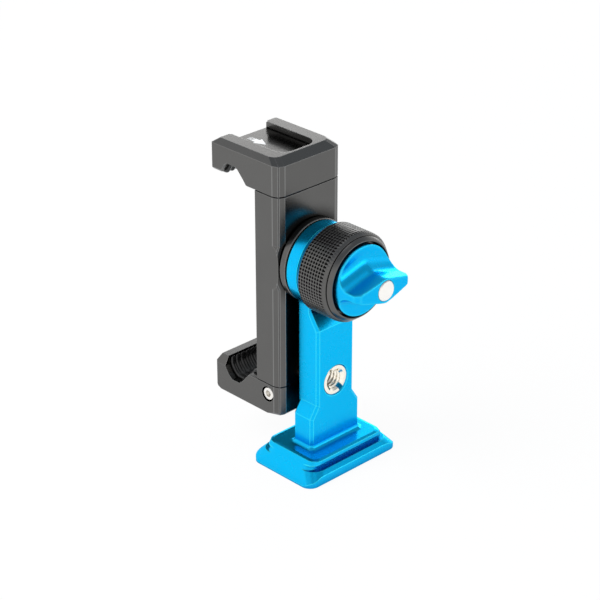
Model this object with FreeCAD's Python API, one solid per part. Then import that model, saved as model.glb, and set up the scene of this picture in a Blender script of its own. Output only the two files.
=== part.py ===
import FreeCAD, Part
import math
import os

os.makedirs("parts", exist_ok=True)

# Tripod phone mount adapter: a sprung jaw clamp that swivels on an upright bracket.
# Millimetres. X runs along the jaws, +Y points to the phone side and +Z up.
# The origin is the middle of the foot's underside.

V = FreeCAD.Vector

# Clearances
runFit = 0.05          # radial, turned or sliding round pieces
slideFit = 0.1         # each side of the flat bar
edgeBreak = 0.25       # small edge chamfer at the seams
backCorner = 0.3       # upright back corners of the body and the jaws

# Foot: a dovetail plate 38 mm long, gripped by the sloping flanks at its two short ends
footLength = 38.0
footWidth = 25.8
footCornerR = 3.4
flankBaseZ = 0.5       # the flanks start here
flankLean = 0.717      # run of a flank for each mm of rise
ledgeBaseZ = 2.8       # the long sides are upright up to here
ledgeLean = 0.92
grooveLowZ = 4.0
grooveHighZ = 5.3
grooveHalf = 9.6       # half the width between the two grooves
flangeHalf = 10.55     # half the width above the grooves
rimBaseZ = 6.58
rimRun = 0.95          # flat chamfer around the top
rimRise = 0.35
footHeight = rimBaseZ + rimRise
flankCornerLow = 3.6   # corner radius of the sloping flanks, at their base and higher up
flankCornerHigh = 4.4
flangeCornerR = 3.2

# Arm between the foot and the eye
armBackY = 3.4
armThickness = 8.0
armWidth = 15.3
armFootWidth = 20.4
taperLowZ = 17.2
taperHighZ = 21.1
armEdge = 0.8
rootFillet = 1.5
slopeBackY = -0.78
armFrontY = armBackY - armThickness

# Swivel eye
pivotZ = 64.5
eyeR = 12.7
eyeThickness = 5.3
eyeChamfer = 1.3
eyeBlendR = 2.0
eyeFrontY = armBackY - eyeThickness
slopeHighZ = pivotZ - eyeR + 0.2   # the arm's front slopes back towards the eye up to here
slopeLowZ = slopeHighZ - 5.8

# Camera threads: a 3/8 inch bush holding a 1/4 inch thread, and a 1/4 inch hole below
bushR = 4.76
cameraThreadR = 3.175
threadMouth = 0.4
bushZ = 27.4
bushSlotWidth = 1.6
bushSlotDepth = 1.4
bushSlotAngle = -57.0
footHoleDepth = 9.5

# Clamp: upright body between two jaws
flangeLip = 0.2        # the flange stands this far outside the eye
flangeStep = 0.8
flangeR = eyeR + flangeLip
halfWidth = flangeR    # the body is as wide as the flange
bodyFrontY = 6.4
bodyDepth = 10.3
bodyBackY = bodyFrontY + bodyDepth
seamLowZ = 24.55
columnHeight = 62.5
seamHighZ = seamLowZ + columnHeight
facetSize = 2.7        # the two facets on each front corner
facetShare = 0.293     # how far the middle edge of the facets is set back
cornerGroove = 0.36    # width of the line cut along the facets
flangeBackR = flangeR - flangeStep
bossFrontR = flangeBackR
bossContourR = bossFrontR + 1.9    # where that line runs around the pivot
bossBackR = bossFrontR + facetSize
facetMid = facetShare * facetSize

# Moving jaw, its guides and springs
jawTravel = 20.0
guideWall = 1.1        # metal outside a spring chamber
guideY = 11.6
guideR = 2.0
guideGrip = 6.0        # thread length in the jaw
guideHeadR = 2.9
guideHeadHeight = 3.0
guideHeadZ = seamLowZ + 1.95
chamberR = 3.2
guideX = halfWidth - guideWall - chamberR
springMeanR = 2.6
springWire = 0.8
springTurns = 6
springSpare = 3.7      # chamber length left when the springs are closed up
chamberTopZ = guideHeadZ + guideHeadHeight + jawTravel + springTurns * springWire + springSpare
barWall = 1.3          # metal between the bar's slot and a chamber
barWidth = 2 * (guideX - chamberR - barWall - slideFit)
barThickness = 3.0
barY = 11.6
barSpare = 2.6         # bar left below the brake shoe with the jaw fully open
barShoulder = 1.8
barSpigotR = barWidth / 2 - barShoulder
barSpigotLength = 5.0

# Swivel hardware around the pivot, listed from the body outwards
eyeWall = 6.7          # between the spindle and the outside of the eye
spindleR = eyeR - eyeWall
spindleBore = spindleR / 2
spindleBaseR = spindleR + 0.9
spindleBaseThickness = 1.5
flangeFrontY = 4.0
flangeScrewRadius = spindleBaseR + 2.5
flangeScrewR = 1.0
flangeScrewHeadR = 1.9
flangeScrewHead = 1.1
flangeScrewDepth = 1.9
washerR = eyeR - 0.7
thrustWasherR = eyeR - 1.5
thrustWasher = 0.3
ringR = eyeR + 1.2
knurlBackY = -2.7
knurlFrontY = -11.4
ringLineR = ringR - 0.95   # thin line turned in the ring's front cone
ringLineY = -13.1
ringFrontR = ringR - 1.9
ringFrontY = -14.65
ringPocketR = ringFrontR - 0.3
ringPocketY = -11.1
ringBackY = eyeFrontY - thrustWasher
spindleEndY = -12.8
clipInnerR = spindleR - 0.5
clipOuterR = spindleR + 1.4
clipThickness = 0.9
clipBackY = -11.2

# Wing knob
knobR = ringPocketR - 0.7
knobBackY = -13.3
knobDiscY = -15.5
wingChamferY = -22.3   # the ends of the wing are chamfered from here to its front
wingFrontY = -24.1
wingEndR = knobR - 1.3
wingTipHalf = 1.45     # half thickness at the tips; the flanks run from there to the boss
pinR = spindleBore + 0.15
wingBossR = pinR + 0.75
wingRootR = 4.6
knobFaceY = -24.7
pinFaceY = -24.9

# Brake that the stud presses on the bar
shoeR = spindleBore - 0.1
shoeThickness = 1.8
barLowZ = pivotZ - shoeR - jawTravel - barSpare

# Jaws
upperJawHeight = 11.3
topBevelHeight = 1.65
upperTopZ = seamHighZ + upperJawHeight
upperEdgeZ = upperTopZ - topBevelHeight
upperTipY = 35.1
sideChamfer = 1.55
hookChamfer = 0.9
frontChamfer = 3.35
tipChamfer = 2.2
lowerJawHeight = 10.15
lowerBottomZ = seamLowZ - lowerJawHeight
lowerTipY = 35.0
lowerBottomChamfer = 1.1
gripThickness = 0.9
gripInset = 2.2        # bare metal left at each end of a grip
ribPitch = 2.0
ribWidth = 1.1
ribHeight = 0.4
tenonHalf = 5.0
tenonFrontY = 9.0
tenonBackY = 14.2
tenonLowZ = lowerBottomZ + 2.6
tenonGap = 0.1

# Cold shoe cut in the upper jaw
shoeSlotWidth = 18.7
shoeMouth = 14.3
shoeLip = 1.25
shoeDepth = 3.35
shoeEndY = 10.5
shoeCornerR = 4.0
shoeLeadY = 32.2       # the lips are cut back at 45 degrees from here

# Screws through the lower jaw's cheeks into the body's tenon
cheekScrewY = 11.76
cheekScrewZ = seamLowZ - 3.55
cheekScrewR = 1.25
cheekHeadR = 2.2
cheekHeadLength = 2.4
cheekBoreR = 2.5
cheekHeadSink = 0.25
cheekScrewReach = 1.6  # distance of the screw's end from the middle
hexSocketAcross = 2.0
hexSocketDepth = 1.2

# Walls of the two gripping hollows, as (y, height above the seam) corners
lowerWall = [(19.9, 0), (23.1, -3.65), (24.6, -4.85), (27.8, -4.85), (29.5, -3.45), (30.9, -1.35),
             (30.9, 1.65)]
upperWall = [(20.0, 0), (21.3, 1.55), (24.4, 4.75), (28.6, 4.75), (29.2, 4.45), (31.5, 0.95),
             (32.9, 0.95)]
lowerHollow = [(y, seamLowZ + rise) for y, rise in lowerWall]
upperHollow = [(y, seamHighZ + rise) for y, rise in upperWall]


def save(name, shape):
    shape.exportStep("parts/" + name + ".step")


def group(shapes):
    return Part.makeCompound(shapes)


def face(points):
    return Part.Face(Part.makePolygon(points + [points[0]]))


def prismX(yz, x0, x1):
    points = [V(x0, y, z) for y, z in yz]
    return face(points).extrude(V(x1 - x0, 0, 0))


def prismY(xz, y0, y1):
    points = [V(x, y0, z) for x, z in xz]
    return face(points).extrude(V(0, y1 - y0, 0))


def prismZ(xy, z0, z1):
    points = [V(x, y, z0) for x, y in xy]
    return face(points).extrude(V(0, 0, z1 - z0))


def block(x0, x1, y0, y1, z0, z1):
    return Part.makeBox(x1 - x0, y1 - y0, z1 - z0, V(x0, y0, z0))


def rodX(y, z, r, x0, x1):
    return Part.makeCylinder(r, abs(x1 - x0), V(x0, y, z), V(x1 - x0, 0, 0))


def rodY(x, z, r, y0, y1):
    return Part.makeCylinder(r, abs(y1 - y0), V(x, y0, z), V(0, y1 - y0, 0))


def rodZ(x, y, r, z0, z1):
    return Part.makeCylinder(r, z1 - z0, V(x, y, z0), V(0, 0, 1))


def turned(profile):
    # turns an (r, y) outline around the pivot axis
    points = [V(r, y, pivotZ) for r, y in profile]
    return face(points).revolve(V(0, 0, pivotZ), V(0, 1, 0), 360)


def mirrored(shape):
    return shape.mirror(V(0, 0, 0), V(1, 0, 0))


def bothSides(shape):
    return [shape, mirrored(shape)]


def roundedPlate(length, width, radius, z):
    # closed wire of a rounded rectangle at height z
    a = length / 2
    b = width / 2
    k = radius * (1 - math.sqrt(0.5))
    parts = []
    for sx, sy, flip in ((1, 1, False), (-1, 1, True), (-1, -1, False), (1, -1, True)):
        start = V(sx * a, sy * (b - radius), z)
        middle = V(sx * (a - k), sy * (b - k), z)
        end = V(sx * (a - radius), sy * b, z)
        if flip:
            start, end = end, start
        parts.append((start, middle, end))
    edges = []
    for i, (start, middle, end) in enumerate(parts):
        edges.append(Part.Arc(start, middle, end).toShape())
        following = parts[(i + 1) % 4][0]
        edges.append(Part.makeLine(end, following))
    return Part.Wire(edges)


def loftBetween(low, high):
    return Part.makeLoft([low, high], True, True)


def footLevel(half, radius, z):
    # outline of the foot at height z, its ends on the sloping flanks
    length = footLength - 2 * flankLean * (z - flankBaseZ)
    return roundedPlate(length, 2 * half, radius, z)


def footTopLength():
    return footLength - 2 * flankLean * (rimBaseZ - flankBaseZ) - 2 * rimRun


def ledgeHalf(z):
    return footWidth / 2 - ledgeLean * (z - ledgeBaseZ)


def footPlate():
    base = Part.Face(roundedPlate(footLength, footWidth, footCornerR, 0))
    base = base.extrude(V(0, 0, grooveLowZ))
    flanks = loftBetween(footLevel(ledgeHalf(flankBaseZ), flankCornerLow, flankBaseZ),
                         footLevel(ledgeHalf(grooveLowZ), flankCornerHigh, grooveLowZ))
    rimFoot = footLevel(ledgeHalf(flankBaseZ), flankCornerLow, flankBaseZ)
    sole = Part.Face(rimFoot).extrude(V(0, 0, -flankBaseZ))
    base = base.common(flanks.fuse(sole))
    neck = loftBetween(footLevel(grooveHalf, flangeCornerR, grooveLowZ),
                       footLevel(grooveHalf, flangeCornerR, grooveHighZ))
    flange = loftBetween(footLevel(flangeHalf, flangeCornerR, grooveHighZ),
                         footLevel(flangeHalf, flangeCornerR, rimBaseZ))
    rim = loftBetween(footLevel(flangeHalf, flangeCornerR, rimBaseZ),
                      roundedPlate(footTopLength(), 2 * (flangeHalf - rimRun),
                                   flangeCornerR - 0.4, footHeight))
    return base.fuse([neck, flange, rim]).removeSplitter()


def armOutline():
    # the arm and the eye seen from the front, as one closed wire
    a = armWidth / 2
    foot = armFootWidth / 2
    drop = math.sqrt((eyeR + eyeBlendR) ** 2 - (a + eyeBlendR) ** 2)
    share = eyeR / (eyeR + eyeBlendR)
    onArm = (a, pivotZ - drop)
    onEye = ((a + eyeBlendR) * share, pivotZ - drop * share)
    centre = (a + eyeBlendR, pivotZ - drop)
    lean = math.atan2(onEye[1] - centre[1], onEye[0] - centre[0])
    half = (math.pi + lean) / 2
    onBlend = (centre[0] + eyeBlendR * math.cos(half), centre[1] + eyeBlendR * math.sin(half))
    y = armFrontY
    base = footHeight - 1

    def point(p, side):
        return V(side * p[0], y, p[1])

    edges = []
    for side in (1, -1):
        corners = [(foot, base), (foot, taperLowZ), (a, taperHighZ), onArm]
        for first, second in zip(corners, corners[1:]):
            edges.append(Part.makeLine(point(first, side), point(second, side)))
        blend = Part.Arc(point(onArm, side), point(onBlend, side), point(onEye, side))
        edges.append(blend.toShape())
    top = Part.Arc(point(onEye, 1), V(0, y, pivotZ + eyeR), point(onEye, -1))
    edges.append(top.toShape())
    edges.append(Part.makeLine(point((foot, base), 1), point((foot, base), -1)))
    return Part.Wire(Part.__sortEdges__(edges))


def armEdges(shape):
    # the long front and back edges of the arm, below the eye
    found = []
    for edge in shape.Edges:
        ends = [v.Point for v in edge.Vertexes]
        if len(ends) != 2:
            continue
        high = max(p.z for p in ends)
        low = min(p.z for p in ends)
        side = min(abs(p.x) for p in ends)
        outside = abs(ends[0].y - ends[1].y) < 0.01 or low > slopeLowZ - 0.1
        if outside and high < slopeHighZ + 0.1 and high - low > 2 and side > armWidth / 2 - 0.1:
            found.append(edge)
    return found


def armBracket():
    arm = Part.Face(armOutline()).extrude(V(0, armThickness, 0))
    far = pivotZ + eyeR + 1
    step = [(armFrontY, slopeLowZ), (slopeBackY, slopeHighZ), (slopeBackY, far),
            (armFrontY - 1, far), (armFrontY - 1, slopeLowZ)]
    arm = arm.cut(prismX(step, -2 * eyeR, 2 * eyeR))
    arm = arm.makeChamfer(armEdge, armEdges(arm))
    eye = turned([(0, eyeFrontY), (eyeR - eyeChamfer, eyeFrontY), (eyeR, eyeFrontY + eyeChamfer),
                  (eyeR, armBackY), (0, armBackY)])
    bracket = arm.fuse([eye, footPlate()]).removeSplitter()
    root = []
    for edge in bracket.Edges:
        middle = edge.CenterOfMass
        flat = all(abs(v.Point.z - footHeight) < 0.01 for v in edge.Vertexes)
        inside = abs(middle.x) < armFootWidth / 2 + 0.05 and abs(middle.y) < armThickness
        if flat and inside:
            root.append(edge)
    ledge = (footTopLength() - armFootWidth) / 2
    bracket = bracket.makeFillet(min(rootFillet, 0.8 * ledge), root)
    bracket = bracket.cut(rodY(0, pivotZ, spindleR + runFit, armFrontY - 1, armBackY + 1))
    bracket = bracket.cut(rodY(0, bushZ, bushR, armFrontY - 1, armBackY + 1))
    bracket = bracket.cut(Part.makeCone(bushR + threadMouth, bushR, threadMouth,
                                        V(0, armFrontY, bushZ), V(0, 1, 0)))
    bracket = bracket.cut(rodZ(0, 0, cameraThreadR, -1, footHoleDepth))
    mouth = Part.makeCone(cameraThreadR + threadMouth, cameraThreadR, threadMouth,
                          V(0, 0, 0), V(0, 0, 1))
    return bracket.cut(mouth)


def threadInsert():
    # steel reducer bush with a screwdriver slot across its outer face
    recess = 0.2
    front = armFrontY + recess
    bush = rodY(0, bushZ, bushR, front, armBackY)
    bush = bush.cut(rodY(0, bushZ, cameraThreadR, front - 1, armBackY + 1))
    bush = bush.cut(Part.makeCone(cameraThreadR + threadMouth, cameraThreadR, threadMouth,
                                  V(0, front, bushZ), V(0, 1, 0)))
    slot = block(-bushR - 1, bushR + 1, front - 1, front + bushSlotDepth,
                 bushZ - bushSlotWidth / 2, bushZ + bushSlotWidth / 2)
    slot.rotate(V(0, 0, bushZ), V(0, 1, 0), -bushSlotAngle)
    return bush.cut(slot)


def bodyPlan(backY):
    # outline from above, with two facets on each front corner
    h = halfWidth
    f = bodyFrontY
    right = [(h - facetSize, f), (h - facetMid, f + facetMid), (h, f + facetSize),
             (h, backY - backCorner), (h - backCorner, backY)]
    left = [(-x, y) for x, y in reversed(right)]
    return right + left


def cornerLines(z0, z1):
    # thin square cutters down the middle edge of the corner facets
    cutters = []
    s = cornerGroove * 0.71
    x = halfWidth - facetMid
    y = bodyFrontY + facetMid
    for side in (-1, 1):
        diamond = [(side * (x - s), y), (side * x, y - s), (side * (x + s), y), (side * x, y + s)]
        cutters.append(prismZ(diamond, z0, z1))
    return cutters


def bossLine():
    # the same thin line where it runs around the pivot boss
    s = cornerGroove * 0.71
    y = bodyFrontY + facetMid
    ring = turned([(bossContourR - s, y), (bossContourR, y - s), (bossContourR + s, y),
                   (bossContourR, y + s)])
    reach = math.sqrt(bossContourR ** 2 - (halfWidth - facetMid) ** 2)
    cheek = block(halfWidth - facetMid - s, halfWidth + 3, bodyFrontY - 1, bodyFrontY + 3,
                  pivotZ - reach, pivotZ + reach)
    return [ring.common(cheek), ring.common(mirrored(cheek))], reach


def columnHousing():
    body = prismZ(bodyPlan(bodyBackY), seamLowZ, seamHighZ)
    ends = [e for e in body.Edges if abs(e.Vertexes[0].Point.z - e.Vertexes[-1].Point.z) < 0.01]
    body = body.makeChamfer(edgeBreak, ends)
    boss = turned([(0, bodyFrontY), (bossFrontR, bodyFrontY), (bossContourR, bodyFrontY + facetMid),
                   (bossBackR, bodyFrontY + facetSize), (bossBackR, bodyFrontY + 5),
                   (0, bodyFrontY + 5)])
    cheeks = block(-halfWidth, halfWidth, bodyFrontY, bodyBackY, seamLowZ, seamHighZ)
    body = body.fuse(boss.common(cheeks)).removeSplitter()
    ringLines, reach = bossLine()
    lines = cornerLines(seamLowZ - 1, pivotZ - reach) + cornerLines(pivotZ + reach, seamHighZ + 1)
    body = body.cut(lines + ringLines)
    tenon = block(-tenonHalf, tenonHalf, tenonFrontY, tenonBackY, tenonLowZ, seamLowZ + 1)
    body = body.fuse(tenon).removeSplitter()
    cuts = []
    for side in (-1, 1):
        x = side * guideX
        cuts.append(rodZ(x, guideY, guideR + runFit, chamberTopZ - 1, seamHighZ + 1))
        cuts.append(rodZ(x, guideY, chamberR, seamLowZ - 1, chamberTopZ))
        cuts.append(rodX(cheekScrewY, cheekScrewZ, cheekScrewR, side * cheekScrewReach,
                         side * (tenonHalf + 1)))
    half = barThickness / 2 + slideFit
    cuts.append(block(-barWidth / 2 - slideFit, barWidth / 2 + slideFit, barY - half, barY + half,
                      barLowZ - 1, seamHighZ + 1))
    cuts.append(rodY(0, pivotZ, spindleBaseR, bodyFrontY - 1, bodyFrontY + spindleBaseThickness))
    cuts.append(rodY(0, pivotZ, shoeR + runFit, bodyFrontY, barY - barThickness / 2))
    for x, z in flangeScrewPlaces():
        cuts.append(rodY(x, z, flangeScrewR, bodyFrontY - 1, bodyFrontY + flangeScrewDepth))
    return body.cut(cuts)


def flangeScrewPlaces():
    k = flangeScrewRadius * math.sqrt(0.5)
    return [(sx * k, pivotZ + sz * k) for sx in (-1, 1) for sz in (-1, 1)]


def swivelFlange():
    lip = 0.4
    flange = turned([(spindleR, bodyFrontY), (flangeBackR, bodyFrontY),
                     (flangeBackR, bodyFrontY - lip), (flangeR, bodyFrontY - lip),
                     (flangeR, flangeFrontY + 0.2), (flangeR - 0.2, flangeFrontY),
                     (spindleR, flangeFrontY)])
    for x, z in flangeScrewPlaces():
        flange = flange.cut(rodY(x, z, flangeScrewR, flangeFrontY - 1, bodyFrontY + 1))
        flange = flange.cut(Part.makeCone(flangeScrewHeadR, flangeScrewR, flangeScrewHead,
                                          V(x, flangeFrontY, z), V(0, 1, 0)))
    return flange


def flangeScrews():
    screws = []
    for x, z in flangeScrewPlaces():
        head = Part.makeCone(flangeScrewHeadR, flangeScrewR, flangeScrewHead,
                             V(x, flangeFrontY, z), V(0, 1, 0))
        shank = rodY(x, z, flangeScrewR, flangeFrontY, bodyFrontY + flangeScrewDepth)
        screw = head.fuse(shank).removeSplitter()
        drive = hexPrismY(x, z, 1.3, flangeFrontY, flangeFrontY + 0.8)
        screws.append(screw.cut(drive))
    return group(screws)


def hexPrismY(x, z, across, y0, y1):
    r = across / math.sqrt(3)
    corners = [(x + r * math.cos(math.radians(60 * i)), z + r * math.sin(math.radians(60 * i)))
               for i in range(6)]
    return prismY(corners, y0, y1)


def hexPrismX(y, z, across, x0, x1):
    r = across / math.sqrt(3)
    corners = [(y + r * math.cos(math.radians(60 * i)), z + r * math.sin(math.radians(60 * i)))
               for i in range(6)]
    return prismX(corners, x0, x1)


def spindle():
    # hollow shaft whose base is held behind the flange
    baseBack = bodyFrontY + spindleBaseThickness
    clipFrontY = clipBackY - clipThickness
    return turned([(spindleBore, baseBack), (spindleBaseR, baseBack), (spindleBaseR, bodyFrontY),
                   (spindleR, bodyFrontY), (spindleR, clipBackY), (clipInnerR, clipBackY),
                   (clipInnerR, clipFrontY), (spindleR, clipFrontY),
                   (spindleR, spindleEndY + 0.3), (spindleR - 0.3, spindleEndY),
                   (spindleBore, spindleEndY)])


def frictionWasher():
    return turned([(spindleR + runFit, flangeFrontY), (washerR, flangeFrontY),
                   (washerR, armBackY), (spindleR + runFit, armBackY)])


def thrustWasherDisc():
    return turned([(spindleR + runFit, eyeFrontY), (thrustWasherR, eyeFrontY),
                   (thrustWasherR, ringBackY), (spindleR + runFit, ringBackY)])


def lockRing():
    # knurled ring: back chamfer, knurl, front cone with a thin line, deep pocket for the knob
    backStep = ringBackY - knurlBackY
    line = 0.3
    return turned([(spindleR + runFit, ringBackY), (ringR - backStep, ringBackY),
                   (ringR, knurlBackY), (ringR, knurlFrontY),
                   (ringR - 0.1, (knurlFrontY + ringLineY) / 2), (ringLineR, ringLineY),
                   (ringLineR - line, ringLineY), (ringLineR - line, ringLineY - line),
                   (ringLineR, ringLineY - line), (ringFrontR, ringFrontY),
                   (ringPocketR, ringFrontY), (ringPocketR, ringPocketY),
                   (spindleR + runFit, ringPocketY)])


def spindleClip():
    # open circlip in the spindle's groove
    ring = turned([(clipInnerR, clipBackY), (clipOuterR, clipBackY),
                   (clipOuterR, clipBackY - clipThickness), (clipInnerR, clipBackY - clipThickness)])
    gap = block(-1.4, 1.4, clipBackY - 2, clipBackY + 1, pivotZ - clipOuterR - 1, pivotZ)
    return ring.cut(gap)


def wingOutline(reach):
    # the wing from the front: a round boss with flanks running straight to the tips
    tip = math.hypot(wingEndR, wingTipHalf)
    lean = math.atan2(wingTipHalf, wingEndR) + math.acos(wingBossR / tip)
    x = wingBossR * math.cos(lean)
    z = wingBossR * math.sin(lean)
    taper = (z - wingTipHalf) / (wingEndR - x)
    end = wingTipHalf - taper * (reach - wingEndR)

    def point(px, pz):
        return V(px, knobDiscY, pivotZ + pz)

    edges = []
    for side in (1, -1):
        edges.append(Part.makeLine(point(-reach, side * end), point(-x, side * z)))
        edges.append(Part.Arc(point(-x, side * z), point(0, side * wingBossR),
                              point(x, side * z)).toShape())
        edges.append(Part.makeLine(point(x, side * z), point(reach, side * end)))
        edges.append(Part.makeLine(point(side * reach, -end), point(side * reach, end)))
    return Part.Wire(Part.__sortEdges__(edges))


def wingKnob():
    # a wing standing on a disc with hollow roots, all turned to one outline
    reach = knobR + 1
    wing = Part.Face(wingOutline(reach)).extrude(V(0, knobFaceY - knobDiscY, 0))
    disc = block(-reach, reach, knobDiscY, knobBackY, pivotZ - reach, pivotZ + reach)
    knob = wing.fuse(disc).removeSplitter()
    root = []
    for edge in knob.Edges:
        level = all(abs(v.Point.y - knobDiscY) < 0.01 for v in edge.Vertexes)
        if level and abs(edge.CenterOfMass.z - pivotZ) < reach / 2 and edge.BoundBox.XLength > 1:
            root.append(edge)
    knob = knob.makeFillet(wingRootR, root)
    outside = turned([(0, knobBackY), (knobR - 0.4, knobBackY), (knobR, knobBackY - 0.4),
                      (knobR, wingChamferY), (wingEndR, wingFrontY), (wingBossR, knobFaceY),
                      (0, knobFaceY)])
    knob = knob.common(outside)
    return knob.cut(rodY(0, pivotZ, pinR, knobFaceY - 1, knobBackY + 1))


def knobStud():
    # stud riveted in the knob; its thread runs in the spindle's bore
    shoeFront = barY - barThickness / 2 - shoeThickness
    shank = spindleBore - runFit
    return turned([(0, pinFaceY), (pinR - 0.3, pinFaceY), (pinR, pinFaceY + 0.3),
                   (pinR, knobBackY), (shank, knobBackY), (shank, shoeFront), (0, shoeFront)])


def brakeShoe():
    front = barY - barThickness / 2 - shoeThickness
    return rodY(0, pivotZ, shoeR, front, front + shoeThickness)


def seamEdges(jaw, z):
    # the front edges and the first part of the side edges where a jaw meets the body
    found = []
    for edge in jaw.Edges:
        level = all(abs(v.Point.z - z) < 0.01 for v in edge.Vertexes)
        if level and edge.CenterOfMass.y < bodyBackY:
            found.append(edge)
    return found


def jawTop():
    # chamfered top of the upper jaw between its upright walls and the flat top
    low = bodyPlan(upperTipY)
    topX = halfWidth - sideChamfer
    topFront = bodyFrontY + frontChamfer
    topBack = upperTipY - tipChamfer
    right = [(topX - 2.3, topFront), (topX - 0.8, topFront + 0.7), (topX, topFront + 2.3),
             (topX, topBack - 0.4), (topX - 0.4, topBack)]
    high = right + [(-x, y) for x, y in reversed(right)]
    wires = []
    for outline, z in ((low, upperEdgeZ), (high, upperTopZ)):
        points = [V(x, y, z) for x, y in outline]
        wires.append(Part.makePolygon(points + [points[0]]))
    return loftBetween(wires[0], wires[1])


def coldShoe():
    # the slot that takes an accessory foot, open towards the phone side
    floor = upperTopZ - shoeDepth
    lipUnder = upperTopZ - shoeLip
    wide = slotPlan(shoeSlotWidth / 2, shoeEndY, shoeCornerR + 1.5)
    mouth = slotPlan(shoeMouth / 2, shoeEndY, shoeCornerR)
    under = Part.Face(wide).extrude(V(0, 0, lipUnder - floor))
    under.translate(V(0, 0, floor))
    opening = Part.Face(mouth).extrude(V(0, 0, shoeDepth + 1))
    opening.translate(V(0, 0, floor))
    far = upperTipY + 1
    m = shoeMouth / 2
    lead = prismZ([(m, shoeLeadY), (m + far - shoeLeadY, far), (m, far)], lipUnder, upperTopZ + 1)
    return [under, opening] + bothSides(lead)


def slotPlan(half, endY, radius):
    # closed wire of a slot with a rounded blind end, at height zero
    k = radius * (1 - math.sqrt(0.5))
    far = upperTipY + 1
    left = Part.Arc(V(-half, endY + radius, 0), V(-half + k, endY + k, 0), V(-half + radius, endY, 0))
    right = Part.Arc(V(half - radius, endY, 0), V(half - k, endY + k, 0), V(half, endY + radius, 0))
    edges = [Part.makeLine(V(-half, far, 0), V(-half, endY + radius, 0)), left.toShape(),
             Part.makeLine(V(-half + radius, endY, 0), V(half - radius, endY, 0)), right.toShape(),
             Part.makeLine(V(half, endY + radius, 0), V(half, far, 0)),
             Part.makeLine(V(half, far, 0), V(-half, far, 0))]
    return Part.Wire(edges)


def upperJaw():
    hook = [(bodyFrontY, seamHighZ)] + upperHollow
    hookZ = upperHollow[-1][1]
    hook += [(upperTipY, hookZ), (upperTipY, upperEdgeZ), (bodyFrontY, upperEdgeZ)]
    jaw = prismX(hook, -halfWidth, halfWidth)
    e = halfWidth - hookChamfer
    shoulder = [(e, hookZ), (e, hookZ - 1), (halfWidth + 1, hookZ - 1),
                (halfWidth + 1, hookZ + hookChamfer + 1)]
    bevel = prismY(shoulder, upperHollow[3][0], upperTipY + 1)
    jaw = jaw.cut(bothSides(bevel))
    jaw = jaw.common(prismZ(bodyPlan(upperTipY), seamHighZ, upperEdgeZ))
    jaw = jaw.makeChamfer(edgeBreak, seamEdges(jaw, seamHighZ))
    jaw = jaw.cut(cornerLines(seamHighZ - 1, upperEdgeZ + 0.3))
    jaw = jaw.fuse(jawTop()).removeSplitter()
    cuts = coldShoe()
    for side in (-1, 1):
        cuts.append(rodZ(side * guideX, guideY, guideR, seamHighZ - 1, seamHighZ + guideGrip))
    cuts.append(rodZ(0, barY, barSpigotR, seamHighZ - 1, seamHighZ + barSpigotLength))
    return jaw.cut(cuts)


def clampBar():
    half = barThickness / 2
    bar = block(-barWidth / 2, barWidth / 2, barY - half, barY + half, barLowZ, seamHighZ)
    ends = [e for e in bar.Edges if abs(e.CenterOfMass.z - barLowZ) < 0.01]
    bar = bar.makeChamfer(0.5, ends)
    spigot = rodZ(0, barY, barSpigotR, seamHighZ, seamHighZ + barSpigotLength)
    return bar.fuse(spigot)


def guideBolts():
    bolts = []
    for side in (-1, 1):
        x = side * guideX
        shank = rodZ(x, guideY, guideR, guideHeadZ, seamHighZ + guideGrip)
        head = rodZ(x, guideY, guideHeadR, guideHeadZ, guideHeadZ + guideHeadHeight)
        bolt = shank.fuse(head).removeSplitter()
        bolts.append(bolt.cut(hexSocketBelow(x)))
    return group(bolts)


def hexSocketBelow(x):
    r = 2.5 / math.sqrt(3)
    corners = [(x + r * math.cos(math.radians(60 * i)), guideY + r * math.sin(math.radians(60 * i)))
               for i in range(6)]
    return prismZ(corners, guideHeadZ - 1, guideHeadZ + 1.8)


def jawSprings():
    # coil springs between the bolt heads and the chamber roofs; they pull the jaw shut
    low = guideHeadZ + guideHeadHeight
    length = chamberTopZ - low - springWire
    pitch = length / springTurns
    s = springWire / 2
    springs = []
    for side in (-1, 1):
        helix = Part.makeHelix(pitch, length, springMeanR)
        corners = [V(springMeanR - s, 0, -s), V(springMeanR + s, 0, -s), V(springMeanR + s, 0, s),
                   V(springMeanR - s, 0, s)]
        section = Part.makePolygon(corners + [corners[0]])
        coil = Part.Wire(helix).makePipeShell([section], True, True)
        coil.translate(V(side * guideX, guideY, low + s))
        springs.append(coil)
    return group(springs)


def offsetLine(corners, distance):
    # the same open line moved sideways, to the left of its direction
    moved = []
    for i, (y, z) in enumerate(corners):
        normals = []
        for j in (i - 1, i):
            if 0 <= j < len(corners) - 1:
                dy = corners[j + 1][0] - corners[j][0]
                dz = corners[j + 1][1] - corners[j][1]
                size = math.hypot(dy, dz)
                normals.append((-dz / size, dy / size))
        ny = sum(n[0] for n in normals) / len(normals)
        nz = sum(n[1] for n in normals) / len(normals)
        scale = distance / (ny * ny + nz * nz)
        moved.append((y + ny * scale, z + nz * scale))
    return moved


def ribbedLiner(line, side):
    # moulded liner on a hollow: a thin skin with ribs across the jaw
    half = halfWidth - gripInset
    skin = offsetLine(line, side * (gripThickness - ribHeight))
    crest = offsetLine(line, side * gripThickness)
    liner = prismX(line + skin[::-1], -half, half)
    count = int((2 * half - ribWidth) / ribPitch) + 1
    first = -(count - 1) * ribPitch / 2
    ribs = []
    for i in range(count):
        x = first + i * ribPitch
        ribs.append(prismX(line + crest[::-1], x - ribWidth / 2, x + ribWidth / 2))
    return liner.fuse(ribs).removeSplitter()


def lowerGrip():
    line = [(bodyBackY, seamLowZ)] + lowerHollow
    return ribbedLiner(line, 1)


def upperGrip():
    return ribbedLiner(upperHollow[1:], -1)


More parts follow.
